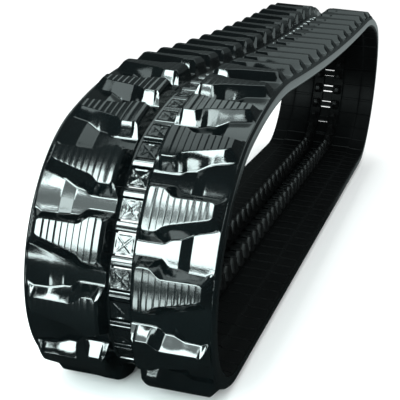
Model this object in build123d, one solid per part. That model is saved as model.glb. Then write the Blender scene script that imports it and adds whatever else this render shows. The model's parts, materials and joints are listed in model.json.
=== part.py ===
from build123d import *
import os
from math import cos, degrees, radians, sin, tan

os.makedirs("parts", exist_ok=True)

# Endless rubber track for a small excavator, in millimetres.
# The loop lies in the YZ plane. X runs across the belt and Z is up.
# s counts links round the loop from the middle of the ground run, towards -Y first.
# Heights in a cross-section are measured outwards from the line of the steel cords.
pitch = 52.5
half_width = 150.0
lug_top = 33.0
floor_height = 9.0
plateau_height = 16.0
window_half_width = 15.0
window_half_length = 18.75
web_half_length = 15.5
horn_tip = -40.0
cord_inner_edge = 50.0
cord_outer_edge = 106.0
cord_half_thickness = 0.8
hinge_gap = 0.15
split_gap = 0.5
notch_reach = 60.0

# name, links, turn in degrees, links in each block of the side bands
runs = (
    ("bottom_run", 32, 0.0, 32),
    ("front_lower_bend", 7, 106.5, 1),
    ("front_upper_bend", 4, 56.0902, 1),
    ("front_shoulder", 6, 19.7, 3),
    ("front_top_run", 11, -2.2902, 11),
    ("rear_top_run", 11, -2.2902, 11),
    ("rear_shoulder", 6, 19.7, 3),
    ("rear_upper_bend", 4, 56.0902, 1),
    ("rear_lower_bend", 7, 106.5, 1),
)
first_link = -16

# link line: (most tightening, most straightening) in degrees
flexes = {
    -16: (1.9, 5.0),
    16: (1.9, 5.0),
    23: (12.5, 4.5),
    27: (2.2, 5.9),
    33: (1.2, 2.6),
    55: (1.2, 2.6),
    61: (2.2, 5.9),
    65: (12.5, 4.5),
    72: (1.9, 5.0),
}
split_line = 44

# cross-section of one side band of the belt: distance from the centre, height
band_section = (
    (window_half_width, 3.5),
    (18.5, 3.5),
    (20, floor_height),
    (86, floor_height),
    (108, plateau_height),
    (143, plateau_height),
    (148, plateau_height - 2),
    (half_width, 11),
    (half_width, -5),
    (147, -9),
    (108, -10),
    (104, -13),
    (50, -13),
    (47, -10),
    (window_half_width, -10),
)

# the strip down the middle, which the windows cut into bars
strip_section = (
    (-window_half_width, -10),
    (window_half_width, -10),
    (window_half_width, 6),
    (-window_half_width, 6),
)

# outline of a tread lug at its top, in distance from the centre and along the belt
lug_crest = (
    (29, -29.5),
    (61, -29.5),
    (72, -20.5),
    (113, -5),
    (131, 1),
    (131, 20.5),
    (79, 20.5),
    (66, 23.5),
    (54, 29.5),
    (29, 29.5),
)
lug_draft = 26.0
lug_root = 2.0


def start_states():
    """Start line, point, heading and radius of every run."""
    states = {}
    line, y, z, turned = first_link, -first_link * pitch, 0.0, 0.0
    for name, links, turn, _ in runs:
        length = links * pitch
        radius = length / radians(turn) if turn else 0.0
        states[name] = (line, y, z, turned, radius)
        if turn:
            end = turned + radians(turn)
            y -= radius * (sin(end) - sin(turned))
            z += radius * (cos(turned) - cos(end))
            turned = end
        else:
            y -= length
        line += links
    return states


starts = start_states()


def place_at(name, line):
    """Local frame on a run: X across, Y along the belt, Z outwards."""
    first, y, z, turned, radius = starts[name]
    length = (line - first) * pitch
    if radius:
        end = turned + length / radius
        y -= radius * (sin(end) - sin(turned))
        z += radius * (cos(turned) - cos(end))
        turned = end
    else:
        y -= length * cos(turned)
    outwards = (0, -sin(turned), -cos(turned))
    return Plane(origin=(0, y, z + lug_top), x_dir=(1, 0, 0), z_dir=outwards).location


def drag(name, profile, line, links):
    """A closed profile (across, height) carried along a run for some links."""
    radius = starts[name][4]
    face = make_face(Polyline(*[(x, 0, h) for x, h in profile], close=True))
    if radius:
        axis = Axis((0, 0, -radius), (-1 if radius > 0 else 1, 0, 0))
        solid = revolve(face, axis=axis, revolution_arc=abs(degrees(links * pitch / radius)))
    else:
        solid = extrude(face, amount=links * pitch, dir=(0, 1, 0))
    return place_at(name, line) * solid


def prism(points, reach):
    """A profile (along, height) carried to both sides of the centre plane."""
    face = Plane.YZ * make_face(Polyline(*points, close=True))
    return extrude(face, amount=reach, both=True)


def make_core():
    core = Pos(0, 0, -1.5) * Box(36, 10, 7)
    plan = ((14, 12), (100, 12), (118, 7), (118, -7), (100, -12), (14, -12))
    for side in (-1, 1):
        outline = [(side * x, y) for x, y in plan]
        wing = Pos(0, 0, -8) * extrude(make_face(Polyline(*outline, close=True)), amount=5.5)
        root = Plane.XY.offset(-7) * (Pos(side * 31, 0) * Rectangle(24, 28))
        horn = extrude(root, amount=-7 - horn_tip, dir=(0, 0, -1), taper=9)
        core = core + wing + horn
    return core


def make_web():
    plate = Box(2 * window_half_width, 2 * web_half_length, 2.4)
    cross = Pos(0, 0, 1.2) * Box(44, 3, 2.0)
    ribs = Rot(0, 0, 46) * cross + Rot(0, 0, -46) * cross
    ribs = ribs & (Pos(0, 0, 1.2) * Box(2 * window_half_width, 2 * web_half_length, 2.0))
    return plate + ribs


def make_lug(side):
    """A drafted lug, its root sunk below the belt floor, with a sloping buttress at its outer end."""
    crest = make_face(Polyline(*[(side * x, y) for x, y in lug_crest], close=True))
    depth = lug_top - lug_root
    body = extrude(Plane.XY.offset(lug_top) * crest, amount=depth, dir=(0, 0, -1), taper=-lug_draft)
    slope = ((126, lug_top - 1), (148.5, 15), (148.5, lug_root), (126, lug_root))
    slope = Plane.XZ * make_face(Polyline(*[(side * x, h) for x, h in slope], close=True))
    fan = Pos(0, 8, 0) * extrude(slope, amount=19, both=True)
    return (body + fan) & (Pos(side * 84.5, 0, 20) * Box(129, 110, 80))


def make_window():
    """Clears one window and leaves each bar between windows with a ridge along its middle."""
    w = window_half_length
    half = pitch / 2
    points = (
        (-w, -30),
        (w, -30),
        (w, 3),
        (half, 5.5),
        (half, 20),
        (-half, 20),
        (-half, 5.5),
        (-w, 3),
    )
    return prism(points, window_half_width)


def make_notch(line):
    """Room for the belt to bend at a flex line, on each side of the cords."""
    tighten, straighten = flexes[line]
    out = hinge_gap + notch_reach * tan(radians(straighten / 2))
    inward = hinge_gap + notch_reach * tan(radians(tighten / 2))
    points = (
        (-hinge_gap, 0),
        (-out, notch_reach),
        (out, notch_reach),
        (hinge_gap, 0),
        (inward, -notch_reach),
        (-inward, -notch_reach),
    )
    return prism(points, half_width + 10)


core = make_core()
web = make_web()
window = make_window()
lugs = {-1: make_lug(-1), 1: make_lug(1)}
cord_section = (
    (cord_inner_edge, -cord_half_thickness),
    (cord_outer_edge, -cord_half_thickness),
    (cord_outer_edge, cord_half_thickness),
    (cord_inner_edge, cord_half_thickness),
)


def write(name, solids):
    node = Compound(children=list(solids))
    node.label = name
    export_step(node, f"parts/{name}.step")


for name, links, _, block in runs:
    first = starts[name][0]
    last = first + links
    ends = []
    for line in (first, last):
        if line == split_line:
            tool = Box(2 * half_width + 20, 2 * split_gap, 2 * notch_reach)
        else:
            tool = make_notch(line)
        ends.append(place_at(name, line) * tool)

    cores = [place_at(name, first + i + 0.5) * core for i in range(links)]
    cords = []
    bands = []
    for side in (-1, 1):
        cords.append(drag(name, [(side * x, h) for x, h in cord_section], first, links))
        outline = [(side * x, h) for x, h in band_section]
        bands += [drag(name, outline, line, block) for line in range(first, last, block)]
    strip = drag(name, strip_section, first, links)
    windows = [place_at(name, first + i) * window for i in range(links + 1)]

    # bands and bars meet face to face, as one moulding
    carcass = []
    for band in bands:
        carcass += (band - cores - cords - ends).solids()
    carcass += (strip - windows - cores - ends).solids()
    write(f"{name}_carcass", carcass)
    write(f"{name}_cores", [s for c in cores for s in c.solids()])
    write(f"{name}_strands", [s for c in cords for s in (c - ends).solids()])

    webs = []
    for i in range(links + 1):
        piece = web
        if i in (0, links):
            keep = 1 if i == 0 else -1
            piece = web & (Pos(0, keep * 50, 0) * Box(100, 100, 100))
        piece = place_at(name, first + i) * piece
        if i in (0, links):
            piece = piece - ends[0 if i == 0 else 1]
        webs += piece.solids()
    write(f"{name}_webs", webs)

    for side, word in ((-1, "left"), (1, "right")):
        made = []
        for i in range(links + 1):
            odd = (first + i) % 2
            if odd != (1 if side < 0 else 0):
                continue
            piece = lugs[side]
            if i in (0, links):
                keep = 1 if i == 0 else -1
                piece = piece & (Pos(0, keep * 100, 0) * Box(400, 200, 200))
            piece = place_at(name, first + i) * piece - bands
            if i in (0, links):
                piece = piece - ends[0 if i == 0 else 1]
            made += piece.solids()
        write(f"{name}_lugs_{word}", made)
    print(name, "done", flush=True)
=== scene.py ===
import json

import bpy
import numpy as np
from mathutils import Matrix, Vector


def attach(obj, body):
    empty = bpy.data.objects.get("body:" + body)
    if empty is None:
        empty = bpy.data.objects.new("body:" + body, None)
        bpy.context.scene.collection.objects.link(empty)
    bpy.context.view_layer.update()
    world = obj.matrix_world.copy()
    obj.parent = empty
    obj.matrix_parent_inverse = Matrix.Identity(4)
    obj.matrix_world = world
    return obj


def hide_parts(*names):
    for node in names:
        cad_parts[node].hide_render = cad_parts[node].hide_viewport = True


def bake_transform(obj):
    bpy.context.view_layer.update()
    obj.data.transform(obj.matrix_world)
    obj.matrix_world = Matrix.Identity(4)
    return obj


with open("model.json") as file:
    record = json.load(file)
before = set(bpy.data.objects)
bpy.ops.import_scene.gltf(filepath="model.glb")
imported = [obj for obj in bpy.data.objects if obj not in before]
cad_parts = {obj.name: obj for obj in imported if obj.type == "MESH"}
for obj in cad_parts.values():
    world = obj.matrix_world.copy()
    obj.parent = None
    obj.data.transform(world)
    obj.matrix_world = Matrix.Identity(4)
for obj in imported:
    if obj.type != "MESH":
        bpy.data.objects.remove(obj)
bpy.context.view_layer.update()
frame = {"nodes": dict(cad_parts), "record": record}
print("frame loaded")

# Lengths in this script are millimetres on the belt: across from the centre plane, along the loop
# counted in links, and outwards from the line of the steel strands. Meshes are stored in metres.
loop = {
    "pitch": 52.5,
    "strandHeight": 33.0,
    "firstLink": -16.0,
    "links": (32, 7, 4, 6, 11, 11, 6, 4, 7),
    "turns": (0.0, 106.5, 56.0902, 19.7, -2.2902, -2.2902, 19.7, 56.0902, 106.5),
}


def runStarts():
    # each run begins where the last ended, after a straight or an arc of radius length / turn
    rows = []
    line, y, z, heading = loop["firstLink"], -loop["firstLink"] * loop["pitch"], 0.0, 0.0
    for links, turn in zip(loop["links"], loop["turns"]):
        length, bend = links * loop["pitch"], np.radians(turn)
        rows.append((line, y, z, heading, bend / length))
        if turn:
            radius = length / bend
            y -= radius * (np.sin(heading + bend) - np.sin(heading))
            z += radius * (np.cos(heading) - np.cos(heading + bend))
        else:
            y -= length
        heading += bend
        line += links
    return np.array(rows)


runTable = runStarts()


def onBelt(across, along, outwards):
    # a point of the belt: the strand line at that link, then outwards square to it
    across, along, outwards = np.broadcast_arrays(across, along, outwards)
    wrapped = np.mod(along - loop["firstLink"], 88.0) + loop["firstLink"]
    row = np.clip(np.searchsorted(runTable[:, 0], wrapped, side="right") - 1, 0, 8)
    line, y, z, heading, bend = (runTable[row, i] for i in range(5))
    length = (wrapped - line) * loop["pitch"]
    end = heading + bend * length
    straight = np.abs(bend) < 1e-9
    safe = np.where(straight, 1.0, bend)
    y = y - np.where(straight, length, (np.sin(end) - np.sin(heading)) / safe)
    z = z + np.where(straight, 0.0, (np.cos(heading) - np.cos(end)) / safe)
    y = y - outwards * np.sin(end)
    z = z + loop["strandHeight"] - outwards * np.cos(end)
    return np.stack([across, y, z], -1) / 1000.0


def gridFaces(rows, columns, start=0, closeColumns=False):
    # quads between neighbours of a grid, wrapping round the columns where the section is closed
    last = columns if closeColumns else columns - 1
    r, c = np.meshgrid(np.arange(rows - 1), np.arange(last), indexing="ij")
    n = (c + 1) % columns
    quads = np.stack([r * columns + c, r * columns + n, (r + 1) * columns + n, (r + 1) * columns + c], -1)
    return quads.reshape(-1, 4) + start


def meshObject(name, points, quads, smoothAngle=32.0, caps=()):
    # numpy arrays straight into a mesh: quads first, then one many-sided face for each cap
    mesh = bpy.data.meshes.new(name)
    loops = [quads.ravel()] + [np.asarray(c) for c in caps]
    sizes = np.concatenate([np.full(len(quads), 4), np.array([len(c) for c in caps], int)])
    flat = np.concatenate(loops).astype(np.int32)
    mesh.vertices.add(len(points))
    mesh.vertices.foreach_set("co", np.asarray(points, np.float32).ravel())
    mesh.loops.add(len(flat))
    mesh.loops.foreach_set("vertex_index", flat)
    mesh.polygons.add(len(sizes))
    mesh.polygons.foreach_set("loop_start", np.concatenate([[0], np.cumsum(sizes)[:-1]]).astype(np.int32))
    mesh.update(calc_edges=True)
    mesh.validate()
    mesh.shade_smooth()
    mesh.set_sharp_from_angle(angle=np.radians(smoothAngle))
    obj = bpy.data.objects.new(name, mesh)
    bpy.context.scene.collection.objects.link(obj)
    return obj


def markMatt(obj, matt):
    # the second material on the faces that matt counts in. The rest keep the first
    slots = np.zeros(len(obj.data.polygons), np.int32)
    slots[: len(matt)] = matt
    obj.data.polygons.foreach_set("material_index", slots)


def softened(u, table, spread=1.6):
    # a polyline read at u and averaged over a short span, which rounds its corners
    table = np.array(table, float)
    shifts = np.linspace(-spread, spread, 7)
    return np.mean([np.interp(u + s, table[:, 0], table[:, 1]) for s in shifts], 0)


# one lug cell is two links long and half the belt wide. Tables are (across, along) or (across, height)
tread = {
    "crestHeight": 33.0,
    "lowEdge": (
        (20, -29.5), (49, -29.5), (54, -27.5), (61, -21.5), (70, -18.5),
        (100, -11.5), (126.5, -5.2), (131.5, -2.0), (150, -10),
    ),
    "highEdge": (
        (20, 29.5), (49, 29.5), (53, 28), (64, 19.5), (70, 17.8),
        (127, 18.5), (131.5, 15.5), (150, 35),
    ),
    "lowFoot": (
        (20, -42), (60, -42), (64, -41), (72, -35.5), (76, -34.5),
        (88, -32.5), (106, -25), (117, -21.5), (136, -17), (150, -16),
    ),
    "highFoot": (
        (20, 42), (60, 42), (64, 40.5), (72, 32.5), (76, 31.5),
        (88, 31), (106, 29), (132, 28), (150, 39),
    ),
    "crest": ((20.4, 9), (24.2, 28.2), (29.4, 33), (131, 33), (133, 31.4), (144.2, 16.0), (151, 8.0)),
    "floor": (
        (19, 7), (20.6, 9), (87, 9), (106.5, 16), (143.6, 16), (144.4, 15.6), (144.7, 16.0), (145.1, 16.35),
        (145.6, 16.5), (146.1, 16.35), (146.5, 16.0), (146.8, 15.5), (147.4, 14.9), (149.2, 13.4),
        (151, 11.5),
    ),
    "cornerRadius": 4.5,
    "grooveFirst": 41.0,
    "grooveStep": 10.05,
    "grooves": 9,
    "grooveDepth": 0.24,
    "grooveFloor": 0.2,
    "grooveBrim": 0.62,
    "ribs": (0.07, 0.28, 0.5, 0.72, 0.93),
    "ribShape": ((-0.03, 0.0), (-0.009, 1.0), (0.009, 1.0), (0.03, 0.0)),
    "ribHeight": 0.5,
    "footFillet": 2.6,
    "edgeRound": 1.1,
}


def treadColumns():
    # distances across the belt, close together at the grooves, the end wall and the lip
    grooves = tread["grooveFirst"] + tread["grooveStep"] * np.arange(tread["grooves"])
    brim, flat = tread["grooveBrim"], tread["grooveFloor"]
    lines = (grooves[:, None] + np.array([-brim, -flat, flat, brim])).ravel()
    head = [20.6, 21.4, 22.3, 23.2, 24.2, 25.4, 27.2, 29.0, 30.2, 31.6, 33.2, 35.0, 46.0, 49.0]
    waist = [53.0, 55.0, 58.5, 64.0, 66.5, 69.0, 73.5, 76.0, 78.5, 84.5, 86.6, 88.0, 96.0, 105.8, 107.4]
    end = [116.0, 127.0, 129.6, 130.4, 131.4, 132.6, 134.0, 137.0, 140.0, 142.4]
    bead = [143.6, 144.4, 144.7, 145.1, 145.6, 146.1, 146.5, 146.8, 147.4, 149.2]
    return np.unique(np.round(np.concatenate([lines, head, waist, end, bead]), 3))


def bezier(a, b, c, t):
    return (1 - t) ** 2 * a + 2 * t * (1 - t) * b + t**2 * c


def cellSurface():
    # height and place along the cell for every column and row. Rows follow the lug: floor, foot
    # fillet, drafted wall, rounded edge, crest with raised ribs on the end slope, then the same
    # down the other side. Fillets and edges are quadratic curves between floor, wall and crest.
    u = treadColumns()
    crest = softened(u, tread["crest"], 0.7)
    floor = softened(u, tread["floor"], 0.12)
    crest = np.maximum(crest, floor)
    drop = tread["crestHeight"] - crest
    radius = tread["cornerRadius"]
    corner = np.clip(29.4 + radius - u, 0, radius)
    rounding = radius - np.sqrt(np.clip(radius**2 - corner**2, 0, None))
    inner = u < 60
    lowTop, highTop = softened(u, tread["lowEdge"], 1.3), softened(u, tread["highEdge"], 1.3)
    lowFoot, highFoot = softened(u, tread["lowFoot"], 1.2), softened(u, tread["highFoot"], 1.2)
    # where the crest has dropped, its edge lies further down the same drafted wall
    share = np.clip(drop / (tread["crestHeight"] - floor), 0, 1) * inner
    low = lowTop + rounding * (1 - share) + (lowFoot - lowTop) * share
    high = highTop - rounding * (1 - share) + (highFoot - highTop) * share
    half = loop["pitch"]

    def wallRows(edge, foot, side):
        run = np.hypot(edge - foot, crest - floor) + 1e-6
        fillet = np.minimum(tread["footFillet"], run * 0.42)
        turn = np.minimum(tread["edgeRound"], run * 0.3)
        alongWall, upWall = (edge - foot) / run, (crest - floor) / run
        border = np.full_like(u, side * half)
        near = foot - np.sign(edge - foot) * fillet
        near = np.where(np.abs(near) > half - 0.5, side * (half - 0.5), near)
        out = [(border + (near - border) * t, floor) for t in (0.0, 0.4, 0.75)]
        for t in (0.0, 0.2, 0.4, 0.6, 0.8, 1.0):
            place = bezier(near, foot, foot + alongWall * fillet, t)
            out.append((place, bezier(floor, floor, floor + upWall * fillet, t)))
        out.append(((foot + edge) / 2, (floor + crest) / 2))
        inside = edge - side * turn
        for t in (0.0, 0.35, 0.7, 1.0):
            place = bezier(edge - alongWall * turn, edge, inside, t)
            out.append((place, bezier(crest - upWall * turn, crest, crest, t)))
        return out

    lowWall = wallRows(low, lowFoot, -1)
    highWall = wallRows(high, highFoot, 1)
    groove = np.zeros_like(u)
    brim, flat = tread["grooveBrim"], tread["grooveFloor"]
    for k in range(tread["grooves"]):
        centre = tread["grooveFirst"] + tread["grooveStep"] * k
        groove = groove + np.clip((brim - np.abs(u - centre)) / (brim - flat), 0, 1)
    groove = tread["grooveDepth"] * np.clip(groove, 0, 1)
    slope = np.clip((u - 134.5) / 4.0, 0, 1) * np.clip((144.4 - u) / 2.0, 0, 1)
    a, b = lowWall[-1][0], highWall[-1][0]
    middle = []
    for centre in tread["ribs"]:
        for share, lift in tread["ribShape"]:
            height = crest - groove + slope * tread["ribHeight"] * lift
            middle.append((a + (b - a) * (centre + share), height))
    rows = lowWall + middle + highWall[::-1]
    v = np.array([row[0] for row in rows])
    h = np.array([row[1] for row in rows])
    first, last = len(lowWall) - 1, len(rows) - len(highWall)
    for i in (first, last):
        h[i] -= groove * 0.9
    onCrest = np.zeros_like(v)
    onCrest[first : last + 1] = np.clip((u - 27) / 3, 0, 1) * np.clip((133 - u) / 2, 0, 1)
    return u, v, h, onCrest


innerFace = {
    "profile": (
        (150.0, 11.0), (150.0, 7.0), (150.0, 1.0), (150.0, -4.0), (149.0, -7.0), (146.5, -9.0),
        (140.0, -9.5), (124.0, -9.8), (108.5, -10.0), (106.5, -10.8), (105.0, -12.4), (103.0, -13.0),
        (90.0, -13.0), (77.0, -13.0), (64.0, -13.0), (51.5, -13.0), (49.6, -12.4), (48.0, -10.8),
        (46.0, -10.0), (34.0, -10.0), (20.0, -10.0), (16.2, -9.8), (15.0, -8.6), (15.0, -4.0),
        (15.0, 0.6), (15.8, 2.6), (17.4, 3.2), (18.8, 4.2), (19.6, 6.6),
    ),
    "grooveDepth": 2.2,
    "grooveHalf": 4.2,
    "grooveWall": 1.6,
    "mattFrom": 3,  # columns of the profile left glossy, on the lip and at the window wall
    "mattTo": -6,
}


def beltCell():
    # a closed section: the tread surface outside, then the lip, the inner face and the window wall
    u, v, h, onCrest = cellSurface()
    rows = v.shape[0]
    inner = np.array(innerFace["profile"])
    half = loop["pitch"]
    wide, wall = innerFace["grooveHalf"], innerFace["grooveWall"]
    flat = wide - wall
    ahead = np.array([flat, wide, half - wide, half - flat, half])
    marks = np.concatenate([-ahead[::-1], [0], ahead])
    at = np.array([0, 0.06, 0.1, 0.44, 0.475, 0.5, 0.525, 0.56, 0.9, 0.94, 1.0]) * (rows - 1)
    even = np.interp(np.arange(rows), np.round(at), marks)
    blendIn = np.interp(np.arange(len(inner)), [0, 2, 5, 23, 25, 28], [0, 0.0, 1, 1, 0.3, 0])
    startV, endV = v[:, -1], v[:, 0]
    side = np.where(np.arange(len(inner)) < 14, 0, 1)
    outerV = np.where(side[None, :] == 0, startV[:, None], endV[:, None])
    innerV = outerV * (1 - blendIn) + even[:, None] * blendIn
    fromLine = np.minimum(np.abs(even), half - np.abs(even))
    dip = np.clip((wide - fromLine) / wall, 0, 1) * innerFace["grooveDepth"]
    reach = np.interp(inner[:, 0], [46, 48, 146, 149], [0, 1, 1, 0]) * (inner[:, 1] < -8)
    innerH = inner[None, :, 1] + dip[:, None] * reach[None, :]
    innerX = np.broadcast_to(inner[:, 0], (rows, len(inner)))
    across = np.concatenate([np.broadcast_to(u, v.shape), innerX], 1)
    along = np.concatenate([v, innerV], 1) / loop["pitch"]
    out = np.concatenate([h, innerH], 1)
    worn = np.concatenate([onCrest, np.zeros_like(innerV)], 1)
    return across, along, out, worn


cellAcross, cellAlong, cellOut, cellWorn = beltCell()
print("lug cell grid", cellAcross.shape)

# joint: the bodies it joins, its line, and the links of the right half, the left half and the middle
spans = {
    "FrontHeel": ("bottom_run", "front_lower_bend", 16, (1, 19), (0, 20), (0, 20)),
    "FrontNose": ("front_lower_bend", "front_upper_bend", 23, (19, 25), (20, 24), (20, 25)),
    "FrontShoulder": ("front_upper_bend", "front_shoulder", 27, (25, 31), (24, 30), (25, 31)),
    "FrontTop": ("front_shoulder", "front_top_run", 33, (31, 45), (30, 44), (31, 44)),
    "RearTop": ("rear_shoulder", "rear_top_run", 55, (45, 59), (44, 58), (44, 59)),
    "RearShoulder": ("rear_upper_bend", "rear_shoulder", 61, (59, 63), (58, 64), (59, 64)),
    "RearNose": ("rear_lower_bend", "rear_upper_bend", 65, (63, 69), (64, 68), (64, 69)),
    "RearHeel": ("bottom_run", "rear_lower_bend", 72, (69, 89), (68, 88), (69, 88)),
}
bendHalf = 0.9


def bendOver(obj, name):
    # works out the flex line's centre and a direction bendHalf links long, which nothing uses, then bakes
    # the transform
    bodyA, bodyB, line = spans[name][:3]
    sign = 1 if name.startswith("Front") else -1
    centre = onBelt(0.0, float(line), 0.0)
    ahead = onBelt(0.0, line + 0.01, 0.0) - onBelt(0.0, line - 0.01, 0.0)
    ahead = sign * ahead / np.linalg.norm(ahead) * bendHalf * loop["pitch"] / 1000
    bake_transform(obj)
    return obj


def halfBelt(name, side, first, last):
    # the cell repeated along the loop, welded where cells meet, capped at both ends
    count = (last - first) // 2
    rows, columns = cellAcross.shape
    body = slice(0, rows - 1)
    across = np.concatenate([np.tile(cellAcross[body], (count, 1)), cellAcross[-1:]])
    centres = first + 1 + 2 * np.arange(count)
    along = (cellAlong[None, body] + centres[:, None, None]).reshape(-1, columns)
    along = np.concatenate([along, cellAlong[-1:] + centres[-1]])
    out = np.concatenate([np.tile(cellOut[body], (count, 1)), cellOut[-1:]])
    worn = np.concatenate([np.tile(cellWorn[body], (count, 1)), cellWorn[-1:]])
    points = onBelt(side * across, along, out).reshape(-1, 3)
    total = len(across)
    quads = gridFaces(total, columns, closeColumns=True)
    if side < 0:
        quads = quads[:, ::-1]
    startCap = np.arange(columns)[::-1]
    endCap = np.arange(columns) + (total - 1) * columns
    caps = (startCap, endCap) if side > 0 else (startCap[::-1], endCap[::-1])
    obj = meshObject(name, points, quads, caps=caps)
    mark = obj.data.attributes.new("crest", "FLOAT", "POINT")
    mark.data.foreach_set("value", worn.ravel().astype(np.float32))
    inside = np.zeros(columns, bool)
    inside[columns - len(innerFace["profile"]) + innerFace["mattFrom"] : innerFace["mattTo"]] = True
    markMatt(obj, np.tile(inside, total - 1))
    return obj


bodyNames = list(frame["record"]["behaviour"]["bodies"])


def nodesOf(names, kinds):
    return [f"{n}_{k}" for n in names for k in kinds]


belts = []
for name, (bodyA, bodyB, line, right, left, middle) in spans.items():
    rightHalf = (1, right, "Right", ("carcass", "lugs_right"))
    leftHalf = (-1, left, "Left", ("lugs_left",))
    for side, (first, last), word, kinds in (rightHalf, leftHalf):
        obj = halfBelt(f"belt{word}{name}", side, first, last)
        bendOver(obj, name)
        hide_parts(*nodesOf((bodyA, bodyB), kinds))
        belts.append(obj)
triangles = sum(len(o.data.loops) - 2 * len(o.data.polygons) for o in belts)
print("belt halves", len(belts), "triangles", triangles)

# the rubber-coated bridge of each core: two faces that barely slope, parted by a thin groove
bar = {
    "section": (
        (-7.5, -8.0), (-7.5, 2.2), (-7.2, 3.0), (-6.4, 3.4), (-1.1, 4.7), (-0.6, 4.4), (0.0, 3.7),
        (0.6, 4.4), (1.1, 4.7), (6.4, 3.4), (7.2, 3.0), (7.5, 2.2), (7.5, -8.0), (6.5, -9.0), (-6.5, -9.0),
    ),
    "half": 16.0,
    "columns": 5,
}


def closedBars(name, lines):
    # the bar's section carried from side to side, for every line at once
    section = np.array(bar["section"])
    xs = np.linspace(-bar["half"], bar["half"], bar["columns"])
    lines = np.array(lines, float)
    across = np.broadcast_to(xs[None, :, None], (len(lines), len(xs), len(section)))
    along = lines[:, None, None] + np.broadcast_to(section[None, None, :, 0] / loop["pitch"], across.shape)
    out = np.broadcast_to(section[None, None, :, 1], across.shape)
    points = onBelt(across, along, out).reshape(-1, 3)
    each = len(xs) * len(section)
    one = gridFaces(len(xs), len(section), closeColumns=True)[:, ::-1]
    quads = np.concatenate([one + i * each for i in range(len(lines))])
    caps = []
    for i in range(len(lines)):
        caps.append(np.arange(len(section)) + i * each)
        caps.append(np.arange(len(section))[::-1] + i * each + each - len(section))
    obj = meshObject(name, points, quads, smoothAngle=25, caps=caps)
    underside = np.arange(len(section)) >= len(section) - 3
    markMatt(obj, np.tile(underside, len(quads) // len(section)))
    return obj


# the scored rubber skin across each window
web = {
    "halfAcross": 15.4,
    "halfAlong": 15.6,
    "steps": 23,
    "thickness": 2.2,
    "rim": 1.1,
    "cross": 1.3,
    "lens": 0.7,
}


def webHeight(x, y):
    # a raised rim, two crossing ridges along the diagonals, and a shallow lens on each side
    a, b = np.abs(x) / web["halfAcross"], np.abs(y) / web["halfAlong"]
    rim = web["rim"] * np.clip((np.maximum(a, b) - 0.84) / 0.06, 0, 1)
    diagonal = np.abs(a - b) * 15.5 / np.sqrt(2)
    ridge = web["cross"] * np.clip(1.0 - diagonal / 1.5, 0, 1)
    slope = 0.9 * np.minimum(a, b)
    ring = np.hypot((a - 0.95) * 15, y * 0.72)
    lens = web["lens"] * np.clip(1 - np.abs(ring - 8.0) / 1.2, 0, 1) * (a < 0.86)
    return 0.2 + np.maximum(np.maximum(rim, ridge), np.maximum(slope, lens))


def closedWebs(name, lines):
    # the top grid, a wall round its edge and one flat face beneath
    n = web["steps"]
    spread = np.linspace(-1, 1, n)
    x, y = np.meshgrid(spread * web["halfAcross"], spread * web["halfAlong"], indexing="ij")
    top = webHeight(x, y)
    back = np.arange(n - 2, -1, -1)
    sides = [np.arange(n), n * np.arange(1, n) + n - 1, n * (n - 1) + back, n * back[:-1]]
    ring = np.concatenate(sides)
    across = np.concatenate([x.ravel(), x.ravel()[ring]])
    along = np.concatenate([y.ravel(), y.ravel()[ring]]) / loop["pitch"]
    out = np.concatenate([top.ravel(), np.full(len(ring), top.min() - web["thickness"])])
    lines = np.array(lines, float)
    points = onBelt(across[None], lines[:, None] + along[None], out[None]).reshape(-1, 3)
    each = n * n + len(ring)
    below = n * n + np.arange(len(ring))
    wall = np.stack([np.roll(ring, -1), ring, below, np.roll(below, -1)], -1)
    one = np.concatenate([gridFaces(n, n), wall])[:, ::-1]
    quads = np.concatenate([one + i * each for i in range(len(lines))])
    caps = [below + i * each for i in range(len(lines))]
    obj = meshObject(name, points, quads, smoothAngle=30, caps=caps)
    markMatt(obj, np.arange(len(obj.data.polygons)) >= len(quads))
    return obj


bars, webs = [], []
for name, (bodyA, bodyB, line, right, left, middle) in spans.items():
    windows = np.arange(*middle)
    obj = closedBars(f"bars{name}", windows + 0.5)
    bendOver(obj, name)
    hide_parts(*nodesOf((bodyA, bodyB), ("carcass",)))
    bars.append(obj)
    obj = closedWebs(f"webs{name}", windows)
    bendOver(obj, name)
    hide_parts(*nodesOf((bodyA, bodyB), ("webs",)))
    webs.append(obj)
print("bars and webs")

# guide horns: pairs on the inner face, rounded and narrowing to a domed tip
horn = {
    "centre": 31.0,
    "rootHalf": (12.0, 15.0),
    "tipHalf": (6.4, 8.2),
    "rootHeight": -8.5,
    "tipHeight": -40.0,
    "corner": 4.0,
    "round": 16,
    "levels": 5,
}


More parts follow.
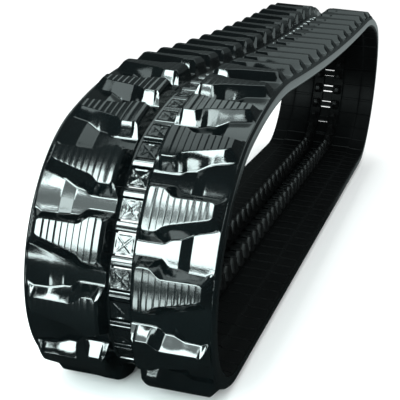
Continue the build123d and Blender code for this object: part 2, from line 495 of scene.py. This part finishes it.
def hornPair(name, lines):
    # superellipse rings from root to tip. The last rings close in to a dome
    a = np.linspace(0, 2 * np.pi, horn["round"], endpoint=False)
    power = 2.0 / horn["corner"]
    cx = np.sign(np.cos(a)) * np.abs(np.cos(a)) ** power
    cy = np.sign(np.sin(a)) * np.abs(np.sin(a)) ** power
    t = np.linspace(0, 1, horn["levels"])
    flare = 1 + 0.18 * (t == 0)
    sx = (horn["rootHalf"][0] + (horn["tipHalf"][0] - horn["rootHalf"][0]) * t) * flare
    sy = (horn["rootHalf"][1] + (horn["tipHalf"][1] - horn["rootHalf"][1]) * t) * flare
    h = horn["rootHeight"] + (horn["tipHeight"] + 2.5 - horn["rootHeight"]) * t
    dome = np.radians([45, 84])
    sx = np.concatenate([sx, horn["tipHalf"][0] - 2.5 + 2.5 * np.cos(dome)])
    sy = np.concatenate([sy, horn["tipHalf"][1] - 2.5 + 2.5 * np.cos(dome)])
    h = np.concatenate([h, horn["tipHeight"] + 2.5 - 2.5 * np.sin(dome)])
    sx[-1] *= 0.5
    sy[-1] *= 0.5
    across = np.stack([side * horn["centre"] + sx[:, None] * cx[None] for side in (-1, 1)])
    along = np.broadcast_to(sy[:, None] * cy[None] / loop["pitch"], across.shape)
    out = np.broadcast_to(h[:, None], across.shape)
    lines = np.array(lines, float)
    points = onBelt(across[None], lines[:, None, None, None] + along[None], out[None]).reshape(-1, 3)
    levels, count = len(h), len(a)
    one = gridFaces(levels, count, closeColumns=True)[:, ::-1]
    each = levels * count
    quads = np.concatenate([one + i * each for i in range(2 * len(lines))])
    caps = []
    for i in range(2 * len(lines)):
        caps.append(np.arange(count) + i * each)
        caps.append(np.arange(count)[::-1] + i * each + each - count)
    return meshObject(name, points, quads, smoothAngle=40, caps=caps)


horns = []
for body, first, links in zip(bodyNames, runTable[:, 0], loop["links"]):
    obj = hornPair(f"horns_{body}", first + 0.5 + np.arange(links))
    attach(obj, body)
    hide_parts(f"{body}_cores")
    horns.append(obj)
print("horns", len(horns))


def mouldedGroup():
    # moulded rubber: cloudy patches of bloom, slow changes of gloss, fine grain over soft flow waves
    group = bpy.data.node_groups.new("mouldedSurface", "ShaderNodeTree")
    face = group.interface
    for label, value in (("Gloss", 0.2), ("Spread", 0.1), ("Grain", 0.25), ("Bloom Amount", 0.4)):
        socket = face.new_socket(label, in_out="INPUT", socket_type="NodeSocketFloat")
        socket.default_value = value
    for label, value in (("Tint", (0.004, 0.006, 0.006, 1)), ("Bloom", (0.012, 0.016, 0.017, 1))):
        socket = face.new_socket(label, in_out="INPUT", socket_type="NodeSocketColor")
        socket.default_value = value
    face.new_socket("Color", in_out="OUTPUT", socket_type="NodeSocketColor")
    face.new_socket("Roughness", in_out="OUTPUT", socket_type="NodeSocketFloat")
    face.new_socket("Normal", in_out="OUTPUT", socket_type="NodeSocketVector")
    nodes, links = group.nodes, group.links
    given, result = nodes.new("NodeGroupInput"), nodes.new("NodeGroupOutput")
    place = nodes.new("ShaderNodeTexCoord")

    def noise(scale, detail):
        n = nodes.new("ShaderNodeTexNoise")
        n.inputs["Scale"].default_value = scale
        n.inputs["Detail"].default_value = detail
        links.new(place.outputs["Object"], n.inputs["Vector"])
        return n.outputs["Fac"]

    cloudy, waves, fine = noise(9.0, 4.0), noise(45.0, 2.0), noise(520.0, 3.0)
    rough = nodes.new("ShaderNodeMath")
    rough.operation = "MULTIPLY_ADD"
    links.new(cloudy, rough.inputs[0])
    links.new(given.outputs["Spread"], rough.inputs[1])
    links.new(given.outputs["Gloss"], rough.inputs[2])
    links.new(rough.outputs[0], result.inputs["Roughness"])
    patch = nodes.new("ShaderNodeMapRange")
    patch.inputs["From Min"].default_value = 0.42
    patch.inputs["From Max"].default_value = 0.72
    links.new(cloudy, patch.inputs["Value"])
    links.new(given.outputs["Bloom Amount"], patch.inputs["To Max"])
    mix = nodes.new("ShaderNodeMix")
    mix.data_type = "RGBA"
    links.new(patch.outputs["Result"], mix.inputs["Factor"])
    links.new(given.outputs["Tint"], mix.inputs["A"])
    links.new(given.outputs["Bloom"], mix.inputs["B"])
    links.new(mix.outputs["Result"], result.inputs["Color"])
    height = nodes.new("ShaderNodeMath")
    height.operation = "MULTIPLY_ADD"
    height.inputs[1].default_value = 3.0
    links.new(waves, height.inputs[0])
    links.new(fine, height.inputs[2])
    bump = nodes.new("ShaderNodeBump")
    bump.inputs["Distance"].default_value = 0.0002
    links.new(given.outputs["Grain"], bump.inputs["Strength"])
    links.new(height.outputs[0], bump.inputs["Height"])
    links.new(bump.outputs["Normal"], result.inputs["Normal"])
    return group


moulded = mouldedGroup()


def finish(name, tint, bloom, gloss, spread, grain, metallic=0.0, crestRough=0.0, mirror=0.5):
    # crests are a little duller than the moulded flanks, by the mesh's own mark
    made = bpy.data.materials.new(name)
    made.use_nodes = True
    nodes, links = made.node_tree.nodes, made.node_tree.links
    shader = nodes["Principled BSDF"]
    group = nodes.new("ShaderNodeGroup")
    group.node_tree = moulded
    for label, value in (("Gloss", gloss), ("Spread", spread), ("Grain", grain), ("Bloom Amount", 0.4)):
        group.inputs[label].default_value = value
    group.inputs["Tint"].default_value = (*tint, 1)
    group.inputs["Bloom"].default_value = (*bloom, 1)
    links.new(group.outputs["Color"], shader.inputs["Base Color"])
    links.new(group.outputs["Normal"], shader.inputs["Normal"])
    if crestRough:
        mark = nodes.new("ShaderNodeAttribute")
        mark.attribute_name = "crest"
        dull = nodes.new("ShaderNodeMath")
        dull.operation = "MULTIPLY_ADD"
        dull.inputs[1].default_value = crestRough
        links.new(mark.outputs["Fac"], dull.inputs[0])
        links.new(group.outputs["Roughness"], dull.inputs[2])
        links.new(dull.outputs[0], shader.inputs["Roughness"])
    else:
        links.new(group.outputs["Roughness"], shader.inputs["Roughness"])
    shader.inputs["Metallic"].default_value = metallic
    shader.inputs["Specular IOR Level"].default_value = mirror
    return made


finishes = {
    "glossBlackRubber": {
        "tint": (0.0008, 0.0014, 0.0016),
        "bloom": (0.0022, 0.004, 0.0043),
        "gloss": 0.05,
        "spread": 0.08,
        "grain": 0.22,
        "crestRough": 0.07,
        "mirror": 1.0,
    },
    "mattInnerRubber": {
        "tint": (0.001, 0.0014, 0.0015),
        "bloom": (0.003, 0.004, 0.004),
        "gloss": 0.42,
        "spread": 0.15,
        "grain": 0.5,
        "mirror": 0.12,
    },
    "thinWebRubber": {
        "tint": (0.001, 0.0016, 0.0018),
        "bloom": (0.003, 0.0045, 0.005),
        "gloss": 0.08,
        "spread": 0.10,
        "grain": 0.8,
        "mirror": 1.0,
    },
    "coatedForgedSteel": {
        "tint": (0.002, 0.0024, 0.0025),
        "bloom": (0.006, 0.007, 0.007),
        "gloss": 0.32,
        "spread": 0.15,
        "grain": 0.6,
        "mirror": 0.25,
    },
    "brassCoatedStrand": {
        "tint": (0.42, 0.33, 0.17),
        "bloom": (0.52, 0.45, 0.30),
        "gloss": 0.28,
        "spread": 0.15,
        "grain": 0.5,
        "metallic": 1.0,
    },
}
paints = {name: finish(name, **values) for name, values in finishes.items()}


def paint(objects, *materials):
    for obj in objects:
        for material in materials:
            obj.data.materials.append(material)


paint(belts + bars, paints["glossBlackRubber"], paints["mattInnerRubber"])
paint(webs, paints["thinWebRubber"], paints["mattInnerRubber"])
paint(horns, paints["coatedForgedSteel"])
for body in bodyNames:
    for place in frame["nodes"][f"{body}_strands"].material_slots:
        place.material = paints["brassCoatedStrand"]
print("materials")

# studio. Each soft box is (centre, point it faces, size, radiance)
studio = {
    "eye": (0.463, -2.445, 0.788),
    "azimuth": 0.245,
    "elevation": 0.278,
    "roll": 0.077,
    "lens": 36.0 * 1062.0 / 400.0,
    "lightColour": (0.84, 1.0, 0.99),
    "floor": {
        "plain": (0.9, 0.9, 0.9),
        "ahead": (0.015, 0.018, 0.018),
        "behind": (0.26, 0.3, 0.3),
        "coordinate": "Object",
        "reach": (0.3, 1.6),
    },
    "sky": {
        "plain": (1.15, 1.15, 1.15),
        "ahead": (0.03, 0.037, 0.038),
        "behind": (0.07, 0.085, 0.085),
        "coordinate": "Generated",
        "reach": (-0.5, 0.7),
    },
    "boxes": {
        "frontBox": ((-0.32, -3.10, 1.03), (0.0, -1.05, 0.25), (1.96, 1.15), 15.0),
        "upperBox": ((-0.15, -2.75, 2.0), (0.0, -0.9, 0.5), (2.0, 1.0), 1.7),
        "fillBox": ((0.44, -2.56, 1.63), (0.1, -0.98, 0.45), (0.5, 0.45), 6.0),
        "sideBox": ((-1.28, -2.06, 1.92), (-0.1, -0.92, 0.45), (0.9, 0.9), 1.6),
        "highBox": ((-0.28, -1.72, 1.40), (0.06, -1.0, 0.14), (0.66, 0.42), 15.0),
        "lowCard": ((-0.07, -1.46, 0.012), (-0.07, -1.46, 1.0), (0.16, 0.2), 9.0),
        "nearCard": ((0.24, -1.60, 0.012), (0.24, -1.60, 1.0), (0.18, 0.16), 9.0),
        "farCard": ((-0.1, -2.9, 0.012), (-0.1, -2.9, 1.0), (2.0, 0.9), 12.0),
        "overBox": ((0.25, 0.4, 2.0), (0.25, 0.4, 0.0), (1.7, 2.6), 1.0),
    },
}


def makeCamera():
    data = bpy.data.cameras.new("camera")
    data.lens, data.sensor_width, data.sensor_fit = studio["lens"], 36.0, "HORIZONTAL"
    data.clip_end = 50
    cam = bpy.data.objects.new("camera", data)
    bpy.context.scene.collection.objects.link(cam)
    az, el, roll = studio["azimuth"], studio["elevation"], studio["roll"]
    back = Vector((np.sin(az) * np.cos(el), -np.cos(az) * np.cos(el), np.sin(el)))
    right = (-back).cross(Vector((0, 0, 1))).normalized()
    up = right.cross(-back)
    r = right * np.cos(roll) + up * np.sin(roll)
    u = -right * np.sin(roll) + up * np.cos(roll)
    m = Matrix((r, u, back)).transposed().to_4x4()
    m.translation = Vector(studio["eye"])
    cam.matrix_world = m
    bpy.context.scene.camera = cam


def softBox(name, at, aim, size, radiance):
    # power from the radiance that the box should show: radiance x area x pi
    data = bpy.data.lights.new(name, "AREA")
    data.shape, data.size, data.size_y = "RECTANGLE", size[0], size[1]
    data.energy = radiance * size[0] * size[1] * np.pi
    data.color = studio["lightColour"]
    lamp = bpy.data.objects.new(name, data)
    bpy.context.scene.collection.objects.link(lamp)
    lamp.location = at
    lamp.rotation_euler = (Vector(aim) - Vector(at)).to_track_quat("-Z", "Y").to_euler()
    lamp.visible_camera = False


makeCamera()
for name, values in studio["boxes"].items():
    softBox(name, *values)

floorMesh = bpy.data.meshes.new("floor")
floorMesh.from_pydata([(-14, -14, 0), (14, -14, 0), (14, 14, 0), (-14, 14, 0)], [], [(0, 1, 2, 3)])
floor = bpy.data.objects.new("floor", floorMesh)
bpy.context.scene.collection.objects.link(floor)
floor.location.z = -0.001
floorPaint = bpy.data.materials.new("paleFloor")
floorPaint.use_nodes = True
nodes, links = floorPaint.node_tree.nodes, floorPaint.node_tree.links
paper = nodes["Principled BSDF"]
paper.inputs["Roughness"].default_value = 0.95
paper.inputs["Specular IOR Level"].default_value = 0.0


def byGloss(nodes, links, plain, ahead, behind, coordinate, reach):
    # one colour for what is seen or lit directly. Glossy rubber mirrors another, dark ahead of the
    # loop and paler behind it, by the Y of the floor's place or of the sky's direction.
    place, split = nodes.new("ShaderNodeTexCoord"), nodes.new("ShaderNodeSeparateXYZ")
    links.new(place.outputs[coordinate], split.inputs["Vector"])
    depth = nodes.new("ShaderNodeMapRange")
    depth.inputs["From Min"].default_value, depth.inputs["From Max"].default_value = reach
    links.new(split.outputs["Y"], depth.inputs["Value"])
    path = nodes.new("ShaderNodeLightPath")
    mirrored, mix = nodes.new("ShaderNodeMix"), nodes.new("ShaderNodeMix")
    mirrored.data_type = mix.data_type = "RGBA"
    mirrored.inputs["A"].default_value = (*ahead, 1)
    mirrored.inputs["B"].default_value = (*behind, 1)
    links.new(depth.outputs["Result"], mirrored.inputs["Factor"])
    mix.inputs["A"].default_value = (*plain, 1)
    links.new(mirrored.outputs["Result"], mix.inputs["B"])
    links.new(path.outputs["Is Glossy Ray"], mix.inputs["Factor"])
    return mix.outputs["Result"]


links.new(byGloss(nodes, links, **studio["floor"]), paper.inputs["Base Color"])
floorMesh.materials.append(floorPaint)

world = bpy.data.worlds.new("studio")
bpy.context.scene.world = world
world.use_nodes = True
nodes, links = world.node_tree.nodes, world.node_tree.links
links.new(byGloss(nodes, links, **studio["sky"]), nodes["Background"].inputs["Color"])
bpy.context.scene.view_settings.view_transform = "Standard"
print("studio")
